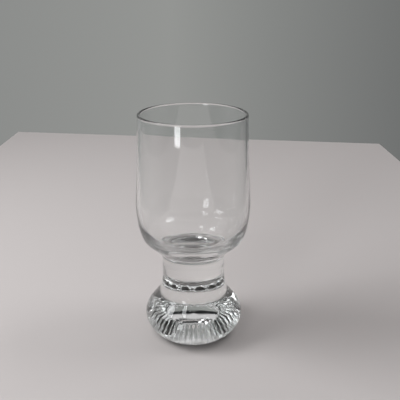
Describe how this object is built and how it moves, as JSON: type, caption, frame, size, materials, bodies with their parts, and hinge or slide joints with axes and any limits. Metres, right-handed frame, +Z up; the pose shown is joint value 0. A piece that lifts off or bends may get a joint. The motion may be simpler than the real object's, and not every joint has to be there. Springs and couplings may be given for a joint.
{
  "type": "shot glass",
  "caption": "Clear footed shot glass: thin upright bowl, short solid waisted stem, and a heavy bun-shaped foot with a fluted hollow underneath.",
  "frame": {"origin": "centre of the plane that the foot rests on, on the glass's axis", "axes": "+Z up along the glass's axis, towards the rim; X and Y are alike, because the glass is round"},
  "size_m": [0.0442, 0.0442, 0.0904],
  "materials": {
    "bowl_glass": "polished, clear, thin blown",
    "stem_glass": "polished, clear, solid",
    "foot_glass": "polished, clear, pressed"
  },
  "bodies": {
    "root": {"bowl": "bowl_glass", "stem": "stem_glass", "foot": "foot_glass"}
  },
  "joints": []
}
